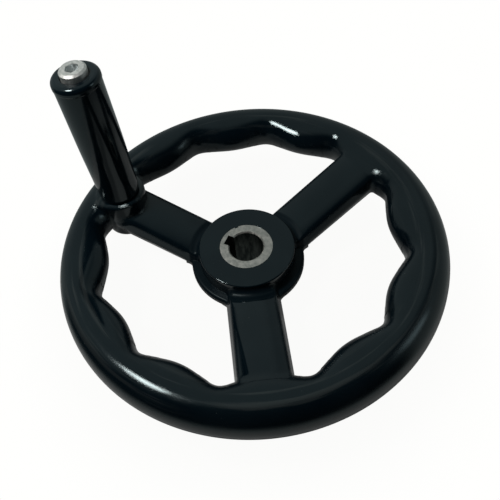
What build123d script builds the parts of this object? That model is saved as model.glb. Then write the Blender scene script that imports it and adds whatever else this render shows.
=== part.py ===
"""Machine handwheel: a moulded wheel with finger grips, a keyed steel bush and a revolving handle."""

import os
from math import cos, hypot, radians, sin

from build123d import *

os.makedirs("parts", exist_ok=True)

# Frame: +Z along the wheel's axis, origin at the centre of the hub's rear face.
# The spoke that carries the handle points along -X.

# ---- Rim, millimetres -------------------------------------------------------------------
wheel_diameter = 200.0
rim_front_height = 14.4  # from the outer parting line up to the crest
rim_rear_height = 8.4  # from the outer parting line down to the rear
rim_outer_width = 10.5  # from the rim's crest out to its widest line
lobe_width = 15.6  # from the crest in to the tip of a grip lobe
groove_width = 10.1  # from the crest in to the bottom of a finger groove
lobe_count = 12
groove_rounding = 0.18  # 0 gives sharp grooves, 1 gives nearly even waves
sections_per_lobe = 6
inner_line_lift = 3.4  # the inner parting line lies this far above the outer one

# ---- Spokes -----------------------------------------------------------------------------
# Half widths of the front edge, the parting line and the rear edge, and their heights over
# the rim's outer parting line, at the two ends of a spoke.
spoke_count = 3
spoke_hub_half_widths = (11.7, 14.2, 11.8)
spoke_hub_levels = (-6.8, -12.3, -18.0)
spoke_rim_half_widths = (11.5, 13.2, 11.0)
spoke_rim_levels = (13.4, 5.5, -3.0)
spoke_crown = 0.4  # rise of the spoke's front face over its edges
spoke_crown_radius = 60.0
spoke_front_edge_radius = 1.6
spoke_parting_edge_radius = 0.8
spoke_rear_edge_radius = 2.0
spoke_start_radius = 20.0  # inside the hub
spoke_end_inset = 3.0  # the spoke ends this far inside the rim's crest
spoke_root_fillet = 2.0  # where a spoke runs into the rim

# ---- Hub and bush -----------------------------------------------------------------------
hub_length = 30.0
hub_face_drop = 13.7  # the hub's front face lies this far below the rim's crest
hub_face_radius = 25.4
hub_face_edge_radius = 0.7
hub_neck_height = 9.2  # collar from its foot on the flange up to the front face
hub_neck_draft = 0.3
hub_foot_fillet = 3.0
hub_flange_radius = 30.5
hub_flange_height = 4.0
hub_flange_edge_radius = 1.8
hub_web_half_width = 14.0  # stubs inside the spokes that round the flange into them
hub_web_length = 31.0  # from the wheel's axis
hub_web_fillet = 3.5
hub_rear_radius = 24.0
hub_rear_draft = 1.0
hub_rear_edge_radius = 1.0

bush_diameter = 28.0
bore_diameter = 18.0
bore_chamfer = 0.7
bush_waist_depth = 1.2  # the waist locks the bush lengthways in the moulding
bush_waist_length = 8.0
key_width = 6.0
key_depth = 2.8  # from the bore's wall
key_angle = 180.0  # round the axis from +X
lock_slot_width = 2.0  # the slot stops the bush turning in the moulding
lock_slot_depth = 0.7
lock_slot_angle = 136.0

# ---- Handle -----------------------------------------------------------------------------
handle_inset = 24.5  # from the wheel's outer edge in to the handle's axis
boss_radius = 13.7
boss_rise = 2.0  # over the rim's crest
boss_depth = 25.2  # from its front face down
boss_land_depth = 6.0  # the land carries the boss's front face out to the rim's crest
boss_draft = 0.8  # how much smaller its radius is at the rear
boss_front_edge_radius = 0.7
boss_rear_edge_radius = 2.5

insert_radius = 8.0
insert_length = 14.0
insert_groove_depth = 0.8
insert_groove_length = 2.5
insert_groove_count = 2
thread_radius = 4.0
thread_length = 11.0
thread_tip_chamfer = 1.0

grip_length = 75.0
grip_foot_radius = 11.1
grip_foot_edge_radius = 1.2
grip_middle_radius = 11.5
grip_barrel_radius = 600.0
grip_neck_radius = 11.3  # just below the end bead
grip_bead_radius = 11.6
grip_bead_height = 3.6
grip_bead_step = 0.5
grip_neck_fillet = 0.3
grip_end_edge_radius = 2.4
grip_recess_depth = 1.6  # the head runs in this shallow recess
grip_recess_edge_radius = 0.3

shank_radius = 5.0
head_radius = 6.4
head_height = 4.6
head_chamfer = 0.9
socket_across_flats = 6.0
socket_depth = 3.8

# ---- Named fits -------------------------------------------------------------------------
running_clearance = 0.05  # grip over the shank, each side
thread_clearance = 0.02  # each side
thread_run_out = 1.0  # free hole past the thread's tip
end_play = 0.3  # between grip and boss, and between grip and head
head_clearance = 0.5  # recess wall round the head

# ---- Derived places ---------------------------------------------------------------------
wheel_radius = wheel_diameter / 2
crest_radius = wheel_radius - rim_outer_width
crest_level = hub_length + hub_face_drop
parting_level = crest_level - rim_front_height
handle_circle_radius = wheel_radius - handle_inset
lobe_pitch = 360 / lobe_count
flange_level = hub_length - hub_neck_height
boss_level = crest_level + boss_rise
insert_bottom_level = boss_level - insert_length
grip_foot_level = boss_level + end_play
grip_end_level = grip_foot_level + grip_length
recess_level = grip_end_level - grip_recess_depth
head_level = recess_level + end_play
bush_radius = bush_diameter / 2
bore_radius = bore_diameter / 2
handle_axis = Axis((-handle_circle_radius, 0, 0), (0, 0, 1))
handle_section_plane = Plane((-handle_circle_radius, 0, 0), x_dir=(1, 0, 0), z_dir=(0, -1, 0))


def rim_inner_width(angle):
    """Width of the rim's inner half at an angle: wide round lobes with narrow grooves between them."""
    wave = hypot(cos(radians(angle) * lobe_count / 2), groove_rounding)
    share = (wave - groove_rounding) / (hypot(1, groove_rounding) - groove_rounding)
    return groove_width + (lobe_width - groove_width) * share


def plane_along_radius(angle, radius):
    """Upright plane on the parting level whose x runs outwards and whose y runs up."""
    outwards = (cos(radians(angle)), sin(radians(angle)), 0)
    sideways = (sin(radians(angle)), -cos(radians(angle)), 0)
    place = (radius * outwards[0], radius * outwards[1], parting_level)
    return Plane(place, x_dir=outwards, z_dir=sideways)


def plane_across_radius(angle, radius):
    """Upright plane on the parting level whose x runs round the wheel and whose y runs up."""
    outwards = (cos(radians(angle)), sin(radians(angle)), 0)
    across = (-sin(radians(angle)), cos(radians(angle)), 0)
    place = (radius * outwards[0], radius * outwards[1], parting_level)
    return Plane(place, x_dir=across, z_dir=outwards)


def rounded_outline(corners):
    """Closed outline through (point, corner radius) pairs, drawn in the current BuildLine."""
    FilletPolyline(
        *[point for point, _ in corners],
        radius=[bend for _, bend in corners],
        close=True,
    )


# ---- Hub bush: turned steel, keyed, with a waist and a slot that hold it in the moulding --------
waist_low = (hub_length - bush_waist_length) / 2
waist_high = waist_low + bush_waist_length
waist_radius = bush_radius - bush_waist_depth
with BuildPart() as hub_bush:
    with BuildSketch(Plane.XZ):
        with BuildLine():
            Polyline(
                (bore_radius + bore_chamfer, 0),
                (bush_radius, 0),
                (bush_radius, waist_low),
                (waist_radius, waist_low + bush_waist_depth),
                (waist_radius, waist_high - bush_waist_depth),
                (bush_radius, waist_high),
                (bush_radius, hub_length),
                (bore_radius + bore_chamfer, hub_length),
                (bore_radius, hub_length - bore_chamfer),
                (bore_radius, bore_chamfer),
                close=True,
            )
        make_face()
    revolve(axis=Axis.Z)
    with BuildSketch(Plane.XY.rotated((0, 0, key_angle))):
        with Locations((bore_radius, 0)):
            Rectangle(2 * key_depth, key_width)
    extrude(amount=hub_length, mode=Mode.SUBTRACT)
    with BuildSketch(Plane.XY.rotated((0, 0, lock_slot_angle))):
        with Locations((bush_radius, 0)):
            Rectangle(2 * lock_slot_depth, lock_slot_width)
    extrude(amount=hub_length, mode=Mode.SUBTRACT)
hub_bush.part.label = "hub_bush"
export_step(hub_bush.part, "parts/hub_bush.step")

# ---- Handle insert: threaded bush moulded into the boss, grooved so that it can't pull out ------
with BuildPart() as handle_insert:
    with BuildSketch(handle_section_plane):
        with BuildLine():
            Polyline(
                (0, insert_bottom_level),
                (insert_radius, insert_bottom_level),
                (insert_radius, boss_level),
                (0, boss_level),
                close=True,
            )
        make_face()
    revolve(axis=handle_axis)
    groove_pitch = insert_length / (insert_groove_count + 1)
    for groove in range(insert_groove_count):
        groove_middle = insert_bottom_level + (groove + 1) * groove_pitch
        with BuildSketch(Plane.XY.offset(groove_middle - insert_groove_length / 2)):
            with Locations(handle_axis.position):
                Circle(insert_radius)
                Circle(insert_radius - insert_groove_depth, mode=Mode.SUBTRACT)
        extrude(amount=insert_groove_length, mode=Mode.SUBTRACT)
    with BuildSketch(Plane.XY.offset(boss_level)):
        with Locations(handle_axis.position):
            Circle(thread_radius + thread_clearance)
    extrude(amount=-(thread_length + thread_run_out), mode=Mode.SUBTRACT)
handle_insert.part.label = "handle_insert"
export_step(handle_insert.part, "parts/handle_insert.step")

# ---- Rim lobe: one wave of the grip, from groove to groove ---------------------------------------
with BuildPart() as rim_lobe:
    for step in range(sections_per_lobe + 1):
        angle = (step / sections_per_lobe - 0.5) * lobe_pitch
        inner_width = rim_inner_width(angle)
        inner_line = (0, inner_line_lift)
        inner_front_height = rim_front_height - inner_line_lift
        inner_rear_height = rim_rear_height + inner_line_lift
        with BuildSketch(plane_along_radius(angle, crest_radius)):
            with BuildLine():
                EllipticalCenterArc((0, 0), rim_outer_width, rim_front_height, start_angle=0, arc_size=90)
                EllipticalCenterArc(inner_line, inner_width, inner_front_height, start_angle=90, arc_size=90)
                EllipticalCenterArc(inner_line, inner_width, inner_rear_height, start_angle=180, arc_size=90)
                EllipticalCenterArc((0, 0), rim_outer_width, rim_rear_height, start_angle=270, arc_size=90)
            make_face()
    loft()

# ---- Hub flange: disc with webs that round it into the spokes, drawn on its own rear face -------
with BuildPart() as hub_flange:
    with BuildSketch() as flange_outline:
        Circle(hub_flange_radius)
        with PolarLocations(0, spoke_count, start_angle=180):
            Rectangle(hub_web_length, 2 * hub_web_half_width, align=(Align.MIN, Align.CENTER))
        fillet(
            [corner for corner in flange_outline.vertices() if corner.center().length < hub_web_length],
            hub_web_fillet,
        )
    extrude(amount=hub_flange_height)
    fillet(hub_flange.faces().sort_by(Axis.Z)[-1].edges(), hub_flange_edge_radius)

# ---- Wheel body: rim, spokes, hub and boss, moulded as one ----------------------------------------
with BuildPart() as wheel_body:
    with PolarLocations(0, lobe_count):
        add(rim_lobe.part)

    # Spokes: crowned front, drafted flanks that meet at the parting line, rounded edges.
    for spoke in range(spoke_count):
        angle = 180 + spoke * 360 / spoke_count
        for radius, half_widths, levels in (
            (spoke_start_radius, spoke_hub_half_widths, spoke_hub_levels),
            (crest_radius - spoke_end_inset, spoke_rim_half_widths, spoke_rim_levels),
        ):
            front_half, middle_half, rear_half = half_widths
            front_level, middle_level, rear_level = levels
            with BuildSketch(plane_across_radius(angle, radius)):
                with BuildLine():
                    rounded_outline(
                        (
                            ((0, front_level + spoke_crown), spoke_crown_radius),
                            ((front_half, front_level), spoke_front_edge_radius),
                            ((middle_half, middle_level), spoke_parting_edge_radius),
                            ((rear_half, rear_level), spoke_rear_edge_radius),
                            ((-rear_half, rear_level), spoke_rear_edge_radius),
                            ((-middle_half, middle_level), spoke_parting_edge_radius),
                            ((-front_half, front_level), spoke_front_edge_radius),
                        )
                    )
                make_face()
        loft(ruled=True)
        fillet(wheel_body.edges(Select.NEW), spoke_root_fillet)

    # Hub: the flange, then a collar in front with a filleted foot and a boss at the rear.
    with Locations((0, 0, flange_level - hub_flange_height)):
        add(hub_flange.part)
    with BuildSketch(Plane.XZ):
        with BuildLine():
            rounded_outline(
                (
                    ((0, 0), 0),
                    ((hub_rear_radius, 0), hub_rear_edge_radius),
                    ((hub_rear_radius + hub_rear_draft, flange_level), 0),
                    ((hub_face_radius + hub_neck_draft, flange_level), 0),
                    ((hub_face_radius, hub_length), hub_face_edge_radius),
                    ((0, hub_length), 0),
                )
            )
        make_face()
    revolve(axis=Axis.Z)
    foot_edges = wheel_body.edges(Select.NEW).filter_by_position(Axis.Z, flange_level, hub_length)
    fillet(foot_edges, hub_foot_fillet)

    # Boss that carries the handle, from behind the spoke to over the rim's crest.
    with BuildSketch(handle_section_plane):
        with BuildLine():
            rounded_outline(
                (
                    ((0, boss_level - boss_depth), 0),
                    ((boss_radius - boss_draft, boss_level - boss_depth), boss_rear_edge_radius),
                    ((boss_radius, boss_level), boss_front_edge_radius),
                    ((0, boss_level), 0),
                )
            )
        make_face()
    revolve(axis=handle_axis)

    # Land that leads the boss's front face down to the rim's crest.
    land_start = Plane((-handle_circle_radius, 0, boss_level), x_dir=(0, -1, 0), z_dir=(-1, 0, 0))
    land_run = crest_radius - handle_circle_radius
    with BuildSketch(land_start) as land_outline:
        Rectangle(2 * boss_radius, boss_land_depth, align=(Align.CENTER, Align.MAX))
        fillet(land_outline.vertices().group_by(Axis.Y)[-1], boss_front_edge_radius)
    extrude(amount=hypot(land_run, boss_rise), dir=(-land_run, 0, -boss_rise))

    # Seats of the bush and of the insert, which are moulded in.
    with BuildSketch(Plane.XY):
        Circle(bore_radius + bore_chamfer)
    extrude(amount=hub_length, mode=Mode.SUBTRACT)
    add(hub_bush.part, mode=Mode.SUBTRACT)
    with BuildSketch(Plane.XY.rotated((0, 0, key_angle))):
        with Locations((bore_radius, 0)):
            Rectangle(2 * key_depth, key_width)
    extrude(amount=hub_length, mode=Mode.SUBTRACT)
    with BuildSketch(Plane.XY.offset(boss_level)):
        with Locations(handle_axis.position):
            Circle(thread_radius + thread_clearance)
    extrude(amount=-(thread_length + thread_run_out), mode=Mode.SUBTRACT)
    add(handle_insert.part, mode=Mode.SUBTRACT)
wheel_body.part.label = "wheel_body"
export_step(wheel_body.part, "parts/wheel_body.step")

# ---- Handle spindle: shouldered steel screw with a socket in its head ------------------------------
with BuildPart() as handle_spindle:
    with BuildSketch(handle_section_plane):
        with BuildLine():
            thread_tip = boss_level - thread_length
            head_top = head_level + head_height
            Polyline(
                (0, thread_tip),
                (thread_radius - thread_tip_chamfer, thread_tip),
                (thread_radius, thread_tip + thread_tip_chamfer),
                (thread_radius, boss_level),
                (shank_radius, boss_level),
                (shank_radius, head_level),
                (head_radius, head_level),
                (head_radius, head_top - head_chamfer),
                (head_radius - head_chamfer, head_top),
                (0, head_top),
                close=True,
            )
        make_face()
    revolve(axis=handle_axis)
    with BuildSketch(Plane.XY.offset(head_top)):
        with Locations(handle_axis.position):
            RegularPolygon(socket_across_flats / 2, 6, major_radius=False)
    extrude(amount=-socket_depth, mode=Mode.SUBTRACT)
handle_spindle.part.label = "handle_spindle"
export_step(handle_spindle.part, "parts/handle_spindle.step")

# ---- Handle grip: moulded sleeve that turns on the spindle ------------------------------------------
with BuildPart() as handle_grip:
    bead_foot = grip_end_level - grip_bead_height
    grip_bore_radius = shank_radius + running_clearance
    recess_radius = head_radius + head_clearance
    with BuildSketch(handle_section_plane):
        with BuildLine():
            rounded_outline(
                (
                    ((grip_bore_radius, grip_foot_level), 0),
                    ((grip_foot_radius, grip_foot_level), grip_foot_edge_radius),
                    ((grip_middle_radius, (grip_foot_level + bead_foot) / 2), grip_barrel_radius),
                    ((grip_neck_radius, bead_foot - grip_bead_step), grip_neck_fillet),
                    ((grip_bead_radius, bead_foot), grip_neck_fillet),
                    ((grip_bead_radius, grip_end_level), grip_end_edge_radius),
                    ((recess_radius, grip_end_level), grip_recess_edge_radius),
                    ((recess_radius, recess_level), 0),
                    ((grip_bore_radius, recess_level), 0),
                )
            )
        make_face()
    revolve(axis=handle_axis)
handle_grip.part.label = "handle_grip"
export_step(handle_grip.part, "parts/handle_grip.step")
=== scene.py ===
"""Looks of the machine handwheel: black wheel and grip, steel bush and spindle, brass insert."""

from math import cos, pi, radians, sin

import bmesh
import bpy
import numpy as np
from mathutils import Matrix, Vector


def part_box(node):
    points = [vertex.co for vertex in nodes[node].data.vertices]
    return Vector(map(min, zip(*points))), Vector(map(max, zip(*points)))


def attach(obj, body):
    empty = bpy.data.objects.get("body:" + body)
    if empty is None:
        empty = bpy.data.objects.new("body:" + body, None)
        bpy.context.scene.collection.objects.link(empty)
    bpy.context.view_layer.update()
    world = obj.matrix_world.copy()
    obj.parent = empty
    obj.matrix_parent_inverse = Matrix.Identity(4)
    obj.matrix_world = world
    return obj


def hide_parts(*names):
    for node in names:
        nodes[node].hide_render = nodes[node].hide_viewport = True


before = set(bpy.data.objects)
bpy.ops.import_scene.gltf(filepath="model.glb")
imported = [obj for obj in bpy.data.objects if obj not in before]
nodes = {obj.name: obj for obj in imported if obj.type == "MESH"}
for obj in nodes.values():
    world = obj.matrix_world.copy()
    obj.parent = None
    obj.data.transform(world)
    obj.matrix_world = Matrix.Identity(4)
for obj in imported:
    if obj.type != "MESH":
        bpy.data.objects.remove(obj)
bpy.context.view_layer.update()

# ---- Wheel body ---------------------------------------------------------------------------------
# The wheel is one moulding in glossy black phenolic: rim, spokes, hub and handle boss. The mould
# halves meet on the rim's widest line and leave a fine flash line there, and the top of the rim is
# buffed, which leaves a faint haze round it. Pale streaks painted into its colour stand partly for
# buffing smears and partly for a painted sheen where its fine scratches catch the light.
wheel_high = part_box("wheel_body")[1]
wheel_radius = wheel_high.x
boss_rise = 0.002

# The rim's section: four quarter ellipses. The outer two meet at the parting line, and the inner
# two a little in front of it.
rim_front_height = 0.0144
rim_rear_height = 0.0084
rim_outer_width = 0.0105
rim_crest_radius = wheel_radius - rim_outer_width
parting_level = wheel_high.z - boss_rise - rim_front_height
inner_line_lift = 0.0034
lobe_count = 12
lobe_width = 0.0156
groove_width = 0.0101
groove_rounding = 0.26
seam_depth = 0.00012
seam_half_width = 0.00016

# The nets over the rim and the collar's front edge, with their turns in degrees.
net_steps_round = 600
seam_turns = (-3.0, -2.2, -1.5, -0.9, -0.4, 0.0, 0.4, 0.9, 1.5, 2.2, 3.0)
section_turns = np.linspace(8, 352, 60)
collar_edge_reach = 0.0247225
collar_edge_level = 0.0293
collar_edge_radius = 0.0007
collar_side_draft = 1.87
collar_edge_turns = np.linspace(collar_side_draft, 90, 10)
facing_step = 1e-4

# How near to a net a face of the CAD lies when the net stands for it. In the rim's grooves, whose
# pitch, half width and fade are in degrees, the CAD's facets stray further from the net.
rim_match = 0.00006
groove_match = 0.0004
groove_pitch = 360 / lobe_count
groove_reach = 4.5
groove_fade = 2.5
collar_edge_match = 0.00002

# The zones of the finish. A pair says where a change begins and where it ends.
flash_half_width = 0.00022
flash_zone = (wheel_radius - 0.004, wheel_radius - 0.002)
buffed_zone = (rim_crest_radius - 0.004, rim_crest_radius + 0.004)
streaks_begin = (rim_crest_radius - 0.014, rim_crest_radius - 0.004)
streaks_fade = (rim_crest_radius + 0.003, rim_crest_radius + 0.008)
neck_reach = 0.0252
neck_top = 0.030
neck_begin = (neck_reach, neck_reach + 0.0006)
neck_fade = (neck_reach + 0.0055, neck_reach + 0.007)
neck_top_fade = (neck_top - 0.003, neck_top - 0.001)
soft_edge_begin = (0.032, 0.036)
spoke_face_begin = (0.029, 0.032)
spoke_face_fade = (0.075, 0.078)
spoke_facing_up = (0.75, 0.92)
spoke_face_half_width = 0.0115
spoke_crown_tilt = 0.33
spoke_pitch = radians(120)
soft_edge_radius = 0.003
hub_edge_radius = 0.0004

# Colours, gloss, roughness and relief. The last two pairs are the middle of a noise's values,
# where most of the surface lies.
phenolic_dark = (0.0016, 0.0054, 0.0088, 1)
phenolic_pale = (0.0030, 0.0076, 0.0112, 1)
phenolic_sheen = (0.84, 0.98, 1.0, 1)
phenolic_ior = 1.5
phenolic_gloss = 0.5
neck_gloss_loss = 0.36
# Pale streaks on the rim: partly buffing smears, partly a painted sheen of fine scratches.
smear_and_sheen_colour = (0.024, 0.029, 0.031, 1)
outer_smear_and_sheen_share = 0.3
dust_colour = (0.10, 0.105, 0.10, 1)
dust_rough = 0.5
wheel_wave_scale = 45.0
wheel_scratch_rough = 0.12
polish_rough = 0.045
haze_rough = (0.12, 0.23)
neck_rough = 0.3
flash_rough = 0.3
flash_height = 2.5
noise_middle = (0.35, 0.65)
noise_wide = (0.3, 0.7)


def bare_tree(owner, output_kind):
    """The emptied node tree of a material or a world, and its new output node."""
    owner.use_nodes = True
    tree = owner.node_tree
    tree.nodes.clear()
    return tree, tree.nodes.new(output_kind)


def material_with_skin(name):
    """A new material with an empty tree, and its Principled shader joined to the output."""
    material = bpy.data.materials.new(name)
    tree, output = bare_tree(material, "ShaderNodeOutputMaterial")
    skin = tree.nodes.new("ShaderNodeBsdfPrincipled")
    tree.links.new(skin.outputs["BSDF"], output.inputs["Surface"])
    return material, tree, skin


def put(tree, kind, settings=None, **inputs):
    """Adds a node, and sets or joins its inputs by name, or by number as i0, i1 and so on."""
    node = tree.nodes.new(kind)
    for key, value in (settings or {}).items():
        setattr(node, key, value)
    for key, value in inputs.items():
        numbered = key[0] == "i" and key[1:].isdigit()
        socket = node.inputs[int(key[1:]) if numbered else key.replace("_", " ")]
        if isinstance(value, bpy.types.NodeSocket):
            tree.links.new(value, socket)
        else:
            socket.default_value = value
    return node


def maths(tree, operation, *values, clamp=False):
    """Output of a Math node."""
    settings = {"operation": operation, "use_clamp": clamp}
    inputs = {f"i{number}": value for number, value in enumerate(values)}
    return put(tree, "ShaderNodeMath", settings, **inputs).outputs[0]


def total(tree, first, *others):
    """Output that adds up values."""
    for other in others:
        first = maths(tree, "ADD", first, other)
    return first


def product(tree, first, *others):
    """Output that multiplies values."""
    for other in others:
        first = maths(tree, "MULTIPLY", first, other)
    return first


def spread(tree, value, low, high, to_low=0.0, to_high=1.0):
    """Output of a smooth Map Range node, held at its ends."""
    settings = {"interpolation_type": "SMOOTHSTEP", "clamp": True}
    inputs = {"i0": value, "i1": low, "i2": high, "i3": to_low, "i4": to_high}
    return put(tree, "ShaderNodeMapRange", settings, **inputs).outputs[0]


def fade(tree, value, low, high, to_high=0.0):
    """Output of a smooth Map Range node that falls from one."""
    return spread(tree, value, low, high, 1.0, to_high)


def blend(tree, share, first, second):
    """Output of a Mix node that goes from the first colour to the second."""
    settings = {"data_type": "RGBA"}
    return put(tree, "ShaderNodeMix", settings, i0=share, i6=first, i7=second).outputs[2]


def noise(tree, place, scale, detail, roughness=0.5):
    """Value output of a Noise Texture node."""
    inputs = {"Vector": place, "Scale": scale, "Detail": detail, "Roughness": roughness}
    return put(tree, "ShaderNodeTexNoise", **inputs).outputs[0]


def vector_maths(tree, operation, output, **inputs):
    """An output of a Vector Math node."""
    return put(tree, "ShaderNodeVectorMath", {"operation": operation}, **inputs).outputs[output]


def joined(tree, x, y, z=0.0):
    """Vector output that puts three values together."""
    return put(tree, "ShaderNodeCombineXYZ", i0=x, i1=y, i2=z).outputs[0]


def split(tree, vector):
    """The x, y and z outputs of a vector."""
    return put(tree, "ShaderNodeSeparateXYZ", i0=vector).outputs


def from_z_axis(tree, x, y):
    """Output that gives the distance from the Z axis."""
    return vector_maths(tree, "LENGTH", "Value", i0=joined(tree, x, y))


def object_place(tree):
    """Output of the place on the object."""
    return put(tree, "ShaderNodeTexCoord").outputs["Object"]


def emboss(tree, skin, height, strength, depth, **normal):
    """Joins a Bump node to a shader's normal."""
    inputs = {"Strength": strength, "Distance": depth, "Height": height, **normal}
    bump = put(tree, "ShaderNodeBump", **inputs)
    tree.links.new(bump.outputs["Normal"], skin.inputs["Normal"])


def effect_group(name, outputs, **inputs):
    """A node group from a place and some values to values, and the sockets at its two ends."""
    group = bpy.data.node_groups.new(name, "ShaderNodeTree")
    group.interface.new_socket("Place", in_out="INPUT", socket_type="NodeSocketVector")
    for key, value in inputs.items():
        label = key.replace("_", " ")
        socket = group.interface.new_socket(label, in_out="INPUT", socket_type="NodeSocketFloat")
        socket.default_value = value
    for label in outputs:
        group.interface.new_socket(label, in_out="OUTPUT", socket_type="NodeSocketFloat")
    given = group.nodes.new("NodeGroupInput").outputs
    result = group.nodes.new("NodeGroupOutput").inputs
    return group, given, result


def place_effect(tree, group, **inputs):
    """Puts an effect's group into a material, and gives its outputs."""
    return put(tree, "ShaderNodeGroup", {"node_tree": group}, **inputs).outputs


# Moulded skin: the slow waves and fine peel that a mould leaves in plastic.
peel_share = 0.05

moulded_skin, given, result = effect_group(
    "moulded_skin", ["Height", "Shade"], Wave_Scale=45.0, Peel_Scale=700.0
)
waves = noise(moulded_skin, given["Place"], given["Wave Scale"], detail=2.0)
peel = noise(moulded_skin, given["Place"], given["Peel Scale"], detail=1.0)
skin_height = total(moulded_skin, waves, product(moulded_skin, peel, peel_share))
moulded_skin.links.new(skin_height, result["Height"])
moulded_skin.links.new(spread(moulded_skin, waves, *noise_middle), result["Shade"])

# Handling marks: fine scratches in patches, from hands and tools.
scratch_bend = (0.02, 0.02, 0.02)
scratch_width = 0.014
patch_edges = (0.52, 0.66)

handling_marks, given, result = effect_group(
    "handling_marks", ["Mask"], Scratch_Scale=90.0, Amount=0.5
)
drift = put(handling_marks, "ShaderNodeTexNoise", Vector=given["Place"], Scale=35.0, Detail=3.0)
bent_place = vector_maths(
    handling_marks,
    "MULTIPLY_ADD",
    "Vector",
    i0=drift.outputs["Color"],
    i1=scratch_bend,
    i2=given["Place"],
)
cells = put(
    handling_marks,
    "ShaderNodeTexVoronoi",
    {"feature": "DISTANCE_TO_EDGE"},
    Vector=bent_place,
    Scale=given["Scratch Scale"],
)
scratches = fade(handling_marks, cells.outputs["Distance"], 0.0, scratch_width)
patches = spread(handling_marks, drift.outputs[0], *patch_edges)
strength = product(handling_marks, patches, given["Amount"])
scratch_mask = maths(handling_marks, "MULTIPLY", scratches, strength, clamp=True)
handling_marks.links.new(scratch_mask, result["Mask"])

# Settled dust: pale specks in clusters, on faces that look up.
speck_edges = (0.05, 0.12)
cluster_edges = (0.56, 0.7)
dusty_facing = (0.3, 0.9)

settled_dust, given, result = effect_group("settled_dust", ["Mask"], Speck_Scale=420.0, Amount=0.6)
cells = put(
    settled_dust,
    "ShaderNodeTexVoronoi",
    {"feature": "F1"},
    Vector=given["Place"],
    Scale=given["Speck Scale"],
)
specks = fade(settled_dust, cells.outputs["Distance"], *speck_edges)
cluster_noise = noise(settled_dust, given["Place"], scale=60.0, detail=2.0)
clusters = spread(settled_dust, cluster_noise, *cluster_edges)
face_normal = put(settled_dust, "ShaderNodeNewGeometry").outputs["Normal"]
facing_up = spread(settled_dust, split(settled_dust, face_normal)["Z"], *dusty_facing)
dust = product(settled_dust, specks, clusters, facing_up)
dust_mask = maths(settled_dust, "MULTIPLY", dust, given["Amount"], clamp=True)
settled_dust.links.new(dust_mask, result["Mask"])


def phenolic(name, wave_scale, scratch_rough):
    """Glossy moulded phenolic: its material, tree, shader, place, moulded skin, colour and wear."""
    material, tree, skin = material_with_skin(name)
    place = object_place(tree)
    moulded = place_effect(tree, moulded_skin, Place=place, Wave_Scale=wave_scale)
    scratched = place_effect(tree, handling_marks, Place=place, Amount=0.5)["Mask"]
    dusty = place_effect(tree, settled_dust, Place=place, Amount=0.6)["Mask"]
    clean_colour = blend(tree, moulded["Shade"], phenolic_dark, phenolic_pale)
    colour = blend(tree, dusty, clean_colour, dust_colour)
    scratch_wear = product(tree, scratched, scratch_rough)
    wear_rough = total(tree, scratch_wear, product(tree, dusty, dust_rough))
    skin.inputs["IOR"].default_value = phenolic_ior
    skin.inputs["Specular IOR Level"].default_value = phenolic_gloss
    skin.inputs["Specular Tint"].default_value = phenolic_sheen
    return material, tree, skin, place, moulded, colour, wear_rough


wheel_phenolic, tree, skin, place, moulded, colour, wear_rough = phenolic(
    "wheel_phenolic", wheel_wave_scale, wheel_scratch_rough
)
place_x, place_y, place_z = split(tree, place)
radius = from_z_axis(tree, place_x, place_y)
angle = maths(tree, "ARCTAN2", place_y, place_x)

# The flash line on the rim's outside.
from_parting = maths(tree, "ABSOLUTE", maths(tree, "SUBTRACT", place_z, parting_level))
on_parting = fade(tree, from_parting, flash_half_width * 0.5, flash_half_width * 1.5)
flash_line = product(tree, on_parting, spread(tree, radius, *flash_zone))

# The buffed rim's haze, and its pale streaks: partly buffing smears and partly a painted sheen of
# fine scratches, painted into the colour. Their noise is drawn out along the rim, because a whole
# radian round the wheel counts as only a few millimetres.
haze_radian = 0.012
streak_radian = 0.004
streak_edges = (0.51, 0.66)

haze_place = joined(tree, product(tree, angle, haze_radian), radius, place_z)
swirl = noise(tree, haze_place, scale=420.0, detail=4.0, roughness=0.6)
swirl_rough = spread(tree, swirl, *noise_wide, *haze_rough)
haze = product(tree, spread(tree, radius, *buffed_zone), swirl_rough)
streak_place = joined(tree, product(tree, angle, streak_radian), radius, place_z)
streaks = noise(tree, streak_place, scale=260.0, detail=5.0, roughness=0.55)
# Painted sheen, in part: the pale streaks in the colour stand for smears and for scratches catching
# light.
smears_and_sheen = product(
    tree,
    spread(tree, radius, *streaks_begin),
    fade(tree, radius, *streaks_fade, outer_smear_and_sheen_share),
    spread(tree, streaks, *streak_edges),
)
tree.links.new(blend(tree, smears_and_sheen, colour, smear_and_sheen_colour), skin.inputs["Base Color"])

# The inner corner at the collar's foot on the flange, which buffing doesn't reach, is duller.
in_corner = product(
    tree,
    spread(tree, radius, *neck_begin),
    fade(tree, radius, *neck_fade),
    fade(tree, place_z, *neck_top_fade),
)
gloss_loss = product(tree, in_corner, neck_gloss_loss)
gloss = maths(tree, "SUBTRACT", phenolic_gloss, gloss_loss)
tree.links.new(gloss, skin.inputs["Specular IOR Level"])
rough = total(
    tree,
    maths(tree, "MAXIMUM", haze, polish_rough),
    wear_rough,
    product(tree, in_corner, neck_rough),
    product(tree, flash_line, flash_rough),
)
tree.links.new(rough, skin.inputs["Roughness"])

# Soft moulded edges, which are sharper on the hub.
past_hub = spread(tree, radius, *soft_edge_begin)
edge_radius = total(tree, product(tree, past_hub, soft_edge_radius), hub_edge_radius)
soft_edge = put(tree, "ShaderNodeBevel", {"samples": 6}, Radius=edge_radius).outputs[0]

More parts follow.
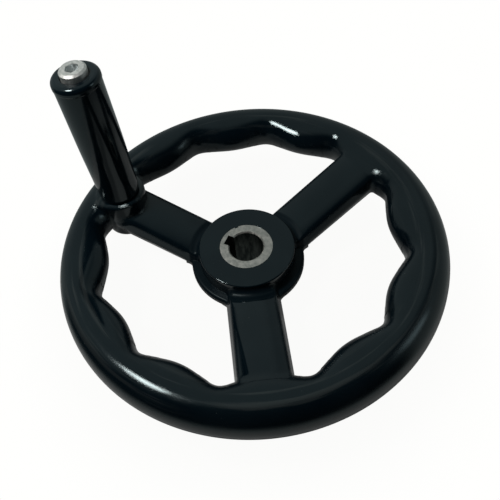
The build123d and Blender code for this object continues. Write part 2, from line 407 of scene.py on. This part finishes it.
# The spokes' crowned faces: their normal leans away from the spoke's middle line.
past_spoke_gap = maths(tree, "FLOORED_MODULO", angle, spoke_pitch)
from_spoke = maths(tree, "SUBTRACT", past_spoke_gap, spoke_pitch / 2)
spoke_heading = maths(tree, "SUBTRACT", angle, from_spoke)
across_x = product(tree, maths(tree, "SINE", spoke_heading), -1.0)
across = joined(tree, across_x, maths(tree, "COSINE", spoke_heading))
tilt = product(
    tree,
    spread(tree, radius, *spoke_face_begin),
    fade(tree, radius, *spoke_face_fade),
    spread(tree, split(tree, soft_edge)["Z"], *spoke_facing_up),
    product(tree, radius, maths(tree, "SINE", from_spoke)),
    spoke_crown_tilt / spoke_face_half_width,
)
tilts = joined(tree, tilt, tilt, tilt)
leaning = vector_maths(tree, "MULTIPLY_ADD", "Vector", i0=across, i1=tilts, i2=soft_edge)
crowned = vector_maths(tree, "NORMALIZE", "Vector", i0=leaning)
height = maths(tree, "SUBTRACT", moulded["Height"], product(tree, flash_line, flash_height))
emboss(tree, skin, height, strength=0.5, depth=0.00004, Normal=crowned)


def rim_inner_width(angle):
    """Width of the rim's inner half at an angle: wide round lobes with narrow rounded grooves."""
    wave = np.hypot(np.cos(angle * lobe_count / 2), groove_rounding)
    share = (wave - groove_rounding) / (np.hypot(1, groove_rounding) - groove_rounding)
    return groove_width + (lobe_width - groove_width) * share


def rim_places(angle, turn):
    """Points of the rim's skin at angles round the wheel and turns round its section."""
    inner = np.cos(turn) < 0
    width = np.where(inner, rim_inner_width(angle), rim_outer_width)
    lift = np.where(inner, inner_line_lift, 0.0)
    front = np.sin(turn) > 0
    rise = np.where(front, rim_front_height - lift, rim_rear_height + lift)
    from_seam = rim_rear_height * np.sin(turn) / seam_half_width
    seam = np.where(inner, 0.0, seam_depth * np.exp(-(from_seam**2)))
    reach = rim_crest_radius + width * np.cos(turn) - seam
    level = parting_level + lift + rise * np.sin(turn)
    return np.stack([reach * np.cos(angle), reach * np.sin(angle), level], axis=-1)


def net_angles(turns):
    """Angles round the wheel, and turns in degrees round a section, for each point of a net."""
    round_wheel = np.arange(net_steps_round) * 2 * np.pi / net_steps_round
    return np.meshgrid(round_wheel, np.radians(turns), indexing="ij")


def rim_net():
    """Points of the net over the rim, and the way that its skin faces there."""
    angle, turn = net_angles(np.concatenate([seam_turns, section_turns]))
    along = rim_places(angle + facing_step, turn) - rim_places(angle - facing_step, turn)
    over = rim_places(angle, turn + facing_step) - rim_places(angle, turn - facing_step)
    facing = np.cross(along, over)
    return rim_places(angle, turn), facing / np.linalg.norm(facing, axis=-1, keepdims=True)


def collar_edge_net():
    """Points of the net over the collar's rounded front edge, and the way that it faces there."""
    angle, turn = net_angles(collar_edge_turns)
    outward, upward = np.cos(turn), np.sin(turn)
    facing = np.stack([outward * np.cos(angle), outward * np.sin(angle), upward], axis=-1)
    centre_x, centre_y = collar_edge_reach * np.cos(angle), collar_edge_reach * np.sin(angle)
    centre = np.stack([centre_x, centre_y, np.full_like(angle, collar_edge_level)], axis=-1)
    return centre + collar_edge_radius * facing, facing


def net_quads(net, first, closed):
    """Quads between the points of a net that runs round the wheel, numbered from first."""
    rows, columns = net.shape[:2]
    corner = first + np.arange(rows * columns).reshape(rows, columns)
    next_row = np.roll(corner, -1, axis=0)
    corners = [corner, next_row, np.roll(next_row, -1, axis=1), np.roll(corner, -1, axis=1)]
    quads = np.stack(corners, axis=-1)
    return (quads if closed else quads[:, :-1]).reshape(-1, 4)


def on_rim(x, y, z):
    """Whether a face of the CAD with this centre lies on the rim's own surface."""
    azimuth = np.arctan2(y, x)
    outward, upward = np.hypot(x, y) - rim_crest_radius, z - parting_level
    width, lift = rim_outer_width, 0.0
    if outward < 0:
        width, lift = rim_inner_width(azimuth), inner_line_lift
    upward -= lift
    height = rim_front_height - lift if upward > 0 else rim_rear_height + lift
    nearness = abs(np.hypot(outward / width, upward / height) - 1) * min(width, height)
    from_groove = abs(np.degrees(azimuth) % groove_pitch - groove_pitch / 2)
    in_groove = min(max((groove_reach - from_groove) / groove_fade, 0), 1)
    return nearness <= rim_match + groove_match * in_groove


def on_collar_edge(places):
    """Whether each point of the CAD lies on the collar's rounded front edge."""
    outward = np.hypot(places[:, 0], places[:, 1]) - collar_edge_reach
    upward = places[:, 2] - collar_edge_level
    nearness = abs(np.hypot(outward, upward) - collar_edge_radius)
    return (nearness < collar_edge_match) & (outward > -collar_edge_match) & (upward > 0)


def moulded_wheel(cad_mesh):
    """The wheel's skin: nets over the rim and the collar's front edge, and the rest of the CAD."""
    rim, rim_facing = rim_net()
    edge, edge_facing = collar_edge_net()
    net = np.concatenate([rim.reshape(-1, 3), edge.reshape(-1, 3)])
    facing = np.concatenate([rim_facing.reshape(-1, 3), edge_facing.reshape(-1, 3)])
    edge_quads = net_quads(edge, rim.size // 3, closed=False)
    quads = np.concatenate([net_quads(rim, 0, closed=True), edge_quads])

    places = np.array([vertex.co for vertex in cad_mesh.vertices])
    normals = np.array([item.vector for item in cad_mesh.corner_normals])
    on_edge = on_collar_edge(places)
    edge_top = collar_edge_level + collar_edge_radius - collar_edge_match / 4
    kept_faces, kept_normals = [], []
    for polygon in cad_mesh.polygons:
        rounded = on_edge[list(polygon.vertices)].all() and polygon.center.z < edge_top
        if not rounded and not on_rim(*polygon.center):
            kept_faces.append([int(place) + len(net) for place in polygon.vertices])
            kept_normals.extend(normals[list(polygon.loop_indices)])

    mesh = bpy.data.meshes.new("wheel_skin")
    mesh.from_pydata(np.concatenate([net, places]).tolist(), [], quads.tolist() + kept_faces)
    mesh.polygons.foreach_set("use_smooth", [True] * len(mesh.polygons))
    loop_normals = np.concatenate([facing[quads.reshape(-1)], np.array(kept_normals)])
    mesh.normals_split_custom_set(loop_normals.tolist())
    pruned = bmesh.new()
    pruned.from_mesh(mesh)
    loose = [vertex for vertex in pruned.verts if not vertex.link_faces]
    bmesh.ops.delete(pruned, geom=loose, context="VERTS")
    pruned.to_mesh(mesh)
    pruned.free()
    return mesh


def dress(name, material):
    """Gives a node of the CAD its material."""
    nodes[name].data.materials.clear()
    nodes[name].data.materials.append(material)


wheel_skin = bpy.data.objects.new("wheel_skin", moulded_wheel(nodes["wheel_body"].data))
bpy.context.scene.collection.objects.link(wheel_skin)
wheel_skin.data.materials.append(wheel_phenolic)
dress("wheel_body", wheel_phenolic)
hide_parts("wheel_body")
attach(wheel_skin, "wheel")

# ---- Hub bush -----------------------------------------------------------------------------------
# A turned steel bush, moulded into the hub and then faced, bored and broached for a key. The cuts
# leave fine rings, and its front face is satin with a few brown stains. Its bore is painted dark,
# as the shade inside the hole, with paler patches.
bush_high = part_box("hub_bush")[1]
bore_mouth = (bush_high.z - 0.0009, bush_high.z - 0.0004)
steel_pale = (0.59, 0.57, 0.53, 1)
steel_dull = (0.46, 0.45, 0.42, 1)
steel_stain = (0.10, 0.085, 0.065, 1)
# Painted shade: the bore's two dark tones stand for the shade inside the hole.
painted_bore_shade_dark = (0.022, 0.034, 0.031, 1)
painted_bore_shade_light = (0.12, 0.145, 0.13, 1)
stain_edges = (0.58, 0.75)
stain_strength = 0.35
bore_patch_edges = (0.35, 0.7)
bore_patch_stretch = (1.0, 1.0, 0.25)
bush_rough = (0.34, 0.5)
bush_scratch_rough = 0.1

# Turned rings: the fine uneven grooves of a lathe tool.
ring_waver = 1.2
ring_share = 0.5

turned_rings, given, result = effect_group(
    "turned_rings", ["Height"], Distance=0.0, Pitch=0.00025
)
uneven = noise(turned_rings, given["Place"], scale=260.0, detail=2.0)
ring_number = maths(turned_rings, "DIVIDE", given["Distance"], given["Pitch"])
ring_number = total(turned_rings, ring_number, product(turned_rings, uneven, ring_waver))
wave = maths(turned_rings, "SINE", product(turned_rings, ring_number, 2 * pi))
ring_height = total(turned_rings, product(turned_rings, wave, ring_share), uneven)
turned_rings.links.new(ring_height, result["Height"])

bush_steel, tree, skin = material_with_skin("bush_steel")
place = object_place(tree)
place_x, place_y, place_z = split(tree, place)
along = total(tree, from_z_axis(tree, place_x, place_y), place_z)
rings = place_effect(tree, turned_rings, Distance=along, Place=place, Pitch=0.0003)
marks = place_effect(tree, handling_marks, Place=place, Scratch_Scale=300.0, Amount=1.0)
mottle = noise(tree, place, scale=420.0, detail=5.0, roughness=0.65)
satin = blend(tree, spread(tree, mottle, *noise_middle), steel_dull, steel_pale)
stain_noise = noise(tree, place, scale=150.0, detail=3.0)
stains = spread(tree, stain_noise, *stain_edges, 0.0, stain_strength)
stained = blend(tree, stains, satin, steel_stain)
# The bore is painted dark below its mouth, as the shade inside the hole, in random paler patches.
bore_patch_place = put(tree, "ShaderNodeMapping", Vector=place, Scale=bore_patch_stretch).outputs[0]
bore_patches = spread(tree, noise(tree, bore_patch_place, scale=500.0, detail=4.0), *bore_patch_edges)
shaded_bore = blend(tree, bore_patches, painted_bore_shade_dark, painted_bore_shade_light)
face_and_shaded_bore = blend(tree, fade(tree, place_z, *bore_mouth), stained, shaded_bore)
tree.links.new(face_and_shaded_bore, skin.inputs["Base Color"])
skin.inputs["Metallic"].default_value = 1.0
rough = spread(tree, mottle, *noise_wide, *bush_rough)
rough = total(tree, rough, product(tree, marks["Mask"], bush_scratch_rough))
tree.links.new(rough, skin.inputs["Roughness"])
emboss(tree, skin, rings["Height"], strength=0.35, depth=0.00002)
dress("hub_bush", bush_steel)

# ---- Handle insert ------------------------------------------------------------------------------
# A turned brass bush moulded into the boss, with a tapped hole that the spindle screws into. It is
# tarnished in patches, and the lathe's rings run round it.
brass_bright = (0.62, 0.43, 0.17, 1)
brass_dull = (0.36, 0.25, 0.11, 1)
brass_rough = (0.24, 0.4)

insert_brass, tree, skin = material_with_skin("insert_brass")
place = object_place(tree)
along = split(tree, place)["Z"]
rings = place_effect(tree, turned_rings, Distance=along, Place=place, Pitch=0.0004)
tarnish = noise(tree, place, scale=300.0, detail=4.0)
tone = blend(tree, spread(tree, tarnish, *noise_middle), brass_dull, brass_bright)
tree.links.new(tone, skin.inputs["Base Color"])
skin.inputs["Metallic"].default_value = 1.0
rough = spread(tree, tarnish, *noise_wide, *brass_rough)
tree.links.new(rough, skin.inputs["Roughness"])
emboss(tree, skin, rings["Height"], strength=0.4, depth=0.00002)
dress("handle_insert", insert_brass)

# ---- Handle spindle -----------------------------------------------------------------------------
# A shouldered steel screw, bright zinc plated, that holds the grip and screws into the insert. Its
# head has a hexagon socket, whose inside is painted darker than the plated head round it, as shade.
spindle_low, spindle_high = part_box("handle_spindle")
handle_centre = (spindle_low + spindle_high) / 2
handle_axis = (handle_centre.x, handle_centre.y, 0)
zinc_bright = (1.0, 0.98, 0.95, 1)
zinc_grey = (0.90, 0.89, 0.86, 1)
crystal_edges = (0.35, 0.6)
# The socket's inside is painted darker, as the shade in the recess.
socket_painted_shade = (0.66, 0.69, 0.69, 1)
socket_wall = (0.0038, 0.0042)
socket_mouth = (spindle_high.z - 0.0006, spindle_high.z - 0.0001)
zinc_rough = (0.42, 0.56)
zinc_scratch_rough = 0.12

spindle_steel, tree, skin = material_with_skin("spindle_steel")
place = object_place(tree)
from_axis = vector_maths(tree, "SUBTRACT", "Vector", i0=place, i1=handle_axis)
place_x, place_y, place_z = split(tree, from_axis)
radius = from_z_axis(tree, place_x, place_y)
along = total(tree, radius, place_z)
rings = place_effect(tree, turned_rings, Distance=along, Place=place, Pitch=0.00035)
marks = place_effect(tree, handling_marks, Place=place, Scratch_Scale=350.0, Amount=1.0)
crystals = noise(tree, place, scale=650.0, detail=4.0, roughness=0.6)
plated = blend(tree, spread(tree, crystals, *crystal_edges), zinc_grey, zinc_bright)
# Painted shade: inside the socket the colour goes to the darker socket tone.
in_socket = product(tree, fade(tree, radius, *socket_wall), fade(tree, place_z, *socket_mouth))
tree.links.new(blend(tree, in_socket, plated, socket_painted_shade), skin.inputs["Base Color"])
skin.inputs["Metallic"].default_value = 1.0
rough = spread(tree, crystals, *noise_wide, *zinc_rough)
rough = total(tree, rough, product(tree, marks["Mask"], zinc_scratch_rough))
tree.links.new(rough, skin.inputs["Roughness"])
emboss(tree, skin, rings["Height"], strength=0.4, depth=0.00003)
dress("handle_spindle", spindle_steel)

# ---- Handle grip --------------------------------------------------------------------------------
# A sleeve of the same black phenolic that turns on the spindle. It comes from its own mould with a
# smooth glossy finish, and use leaves patches of fine scratches and a little dust on it.
grip_wave_scale = 72.0
grip_rough = 0.12
grip_scratch_rough = 0.14
grip_wave_rough = 0.03

grip_phenolic, tree, skin, place, moulded, colour, wear_rough = phenolic(
    "grip_phenolic", grip_wave_scale, grip_scratch_rough
)
tree.links.new(colour, skin.inputs["Base Color"])
wave_rough = product(tree, moulded["Shade"], grip_wave_rough)
tree.links.new(total(tree, grip_rough, wear_rough, wave_rough), skin.inputs["Roughness"])
emboss(tree, skin, moulded["Height"], strength=0.5, depth=0.00003)
dress("handle_grip", grip_phenolic)

# ---- Floor and background -----------------------------------------------------------------------
# The wheel lies on its hub on a round white board, with a plain white background all round. Walls
# beyond the frame are grey behind the wheel and dark in front of it, and glossy faces mirror them.
board_radius = 0.15
board_thickness = 0.002
board_gap = 0.0001
board_colour = (0.45, 0.45, 0.445, 1)
board_glow_share = 0.955
board_mirror_share = 0.12
board_fade_start = 0.08
white_light = (1, 1, 0.99, 1)
dim_light = (0.85, 0.97, 1.0, 1)
dim_strength = 0.05

bpy.ops.mesh.primitive_cylinder_add(
    vertices=128,
    radius=board_radius,
    depth=board_thickness,
    location=(0, 0, -board_thickness / 2 - board_gap),
)
board = bpy.context.object
board.name = "white_board"
board_white = bpy.data.materials.new("board_white")
tree, output = bare_tree(board_white, "ShaderNodeOutputMaterial")
path = put(tree, "ShaderNodeLightPath").outputs
mirrored = maths(tree, "MAXIMUM", path["Is Glossy Ray"], path["Is Transmission Ray"])
mirror_share = product(tree, mirrored, board_mirror_share)
seen = maths(tree, "MAXIMUM", path["Is Camera Ray"], mirror_share)
place_x, place_y, place_z = split(tree, object_place(tree))
board_reach = from_z_axis(tree, place_x, place_y)
glow_share = spread(tree, board_reach, board_fade_start, board_radius, board_glow_share, 1.0)
glow = put(tree, "ShaderNodeEmission", Color=white_light, Strength=1.0).outputs[0]
lit = put(tree, "ShaderNodeBsdfDiffuse", Color=board_colour).outputs[0]
surface = put(tree, "ShaderNodeMixShader", i0=product(tree, seen, glow_share), i1=lit, i2=glow)
tree.links.new(surface.outputs[0], output.inputs["Surface"])
board.data.materials.append(board_white)

world = bpy.data.worlds.new("studio")
bpy.context.scene.world = world
tree, output = bare_tree(world, "ShaderNodeOutputWorld")
path = put(tree, "ShaderNodeLightPath").outputs
mirrored = maths(tree, "MAXIMUM", path["Is Glossy Ray"], path["Is Transmission Ray"])
seen = maths(tree, "MAXIMUM", path["Is Camera Ray"], mirrored)
dim = put(tree, "ShaderNodeBackground", Color=dim_light, Strength=dim_strength).outputs[0]
white = put(tree, "ShaderNodeBackground", Color=white_light, Strength=1.0).outputs[0]
surface = put(tree, "ShaderNodeMixShader", i0=seen, i1=dim, i2=white)
tree.links.new(surface.outputs[0], output.inputs["Surface"])


def heading(azimuth, elevation):
    """A unit vector from two angles in degrees."""
    level = cos(radians(elevation))
    x, y = level * cos(radians(azimuth)), level * sin(radians(azimuth))
    return Vector((x, y, sin(radians(elevation))))


# The walls: a closed tent round the set that the camera looks through. A wall's edge is given as
# cosines from its heading, and the back wall's top and the ground's edge as shares of the height.
tent_radius = 1.6
tent_tint = (0.88, 1.0, 0.98, 1)
tent_dark = 0.008
left_wall_level = 0.29
left_wall_heading = heading(150, 45)
left_wall_edge = (0.45, 0.8)
back_wall_level = 0.22
back_wall_heading = heading(100, 0)
back_wall_edge = (-0.2, 0.05)
back_wall_top = (0.55, 0.8)
ground_level = 0.28
ground_edge = (-0.5, -0.25)

bpy.ops.mesh.primitive_uv_sphere_add(segments=48, ring_count=24, radius=tent_radius)
tent = bpy.context.object
tent.name = "studio_walls"
tent.visible_camera = False
tent.visible_transmission = False
tent.visible_shadow = False
tent_grey = bpy.data.materials.new("tent_grey")
tree, output = bare_tree(tent_grey, "ShaderNodeOutputMaterial")
outward = vector_maths(tree, "NORMALIZE", "Vector", i0=object_place(tree))
height_share = split(tree, outward)["Z"]
toward_left = vector_maths(tree, "DOT_PRODUCT", "Value", i0=outward, i1=left_wall_heading)
toward_back = vector_maths(tree, "DOT_PRODUCT", "Value", i0=outward, i1=back_wall_heading)
left_wall = spread(tree, toward_left, *left_wall_edge, 0.0, left_wall_level)
back_wall = spread(tree, toward_back, *back_wall_edge, 0.0, back_wall_level)
back_wall = product(tree, back_wall, fade(tree, height_share, *back_wall_top))
ground = spread(tree, height_share, *ground_edge, ground_level, 0.0)
walls = maths(tree, "MAXIMUM", maths(tree, "MAXIMUM", left_wall, back_wall), ground)
level = total(tree, walls, tent_dark)
wall_glow = put(tree, "ShaderNodeEmission", Color=tent_tint, Strength=level)
tree.links.new(wall_glow.outputs[0], output.inputs["Surface"])
tent.data.materials.append(tent_grey)

# ---- Lamps --------------------------------------------------------------------------------------
# One compact round key lamp hangs above the wheel's left side, as the camera sees it. A larger and
# much dimmer window stands further off to the right.
lamp_aim = Vector((0, 0, 0.03))
key_place = Vector((-0.16, -0.12, 0.40))
key_width = 0.095
key_brightness = 35.0
key_colour = (1.0, 1.0, 0.98)
window_place = heading(17, 32) * 1.2
window_size = (0.30, 0.36)
window_brightness = 1.2
window_colour = (0.80, 0.95, 1.0)


def panel_lamp(name, shape, place, size, brightness, colour):
    """An area lamp that looks at the wheel, with its brightness as seen by the eye."""
    light = bpy.data.lights.new(name, "AREA")
    light.shape = shape
    width, height = size
    light.size, light.size_y = width, height
    area = width * height * (pi / 4 if shape == "DISK" else 1.0)
    light.energy = brightness * area * pi
    light.color = colour
    lamp = bpy.data.objects.new(name, light)
    bpy.context.scene.collection.objects.link(lamp)
    lamp.location = place
    lamp.rotation_mode = "QUATERNION"
    lamp.rotation_quaternion = (lamp_aim - place).to_track_quat("-Z", "Y")


panel_lamp("key_lamp", "DISK", key_place, (key_width, key_width), key_brightness, key_colour)
panel_lamp(
    "side_window", "RECTANGLE", window_place, window_size, window_brightness, window_colour
)

# ---- Camera -------------------------------------------------------------------------------------
# It looks down on the wheel from close above its near side, a little rolled, and its shift brings
# the whole wheel into the frame.
camera_place = Vector((0.07788, -0.14143, 0.25283))
camera_turn = (34.678, 7.482, 26.246)
camera_lens = 37.316
sensor_width = 36.0
camera_shift = (0.09, 0.016)
nearest_seen = 0.01

camera_data = bpy.data.cameras.new("camera")
camera_data.lens = camera_lens
camera_data.sensor_width = sensor_width
camera_data.shift_x, camera_data.shift_y = camera_shift
camera_data.clip_start = nearest_seen
camera = bpy.data.objects.new("camera", camera_data)
bpy.context.scene.collection.objects.link(camera)
camera.location = camera_place
camera.rotation_euler = [radians(turn) for turn in camera_turn]
bpy.context.scene.camera = camera
bpy.context.scene.view_settings.view_transform = "Standard"
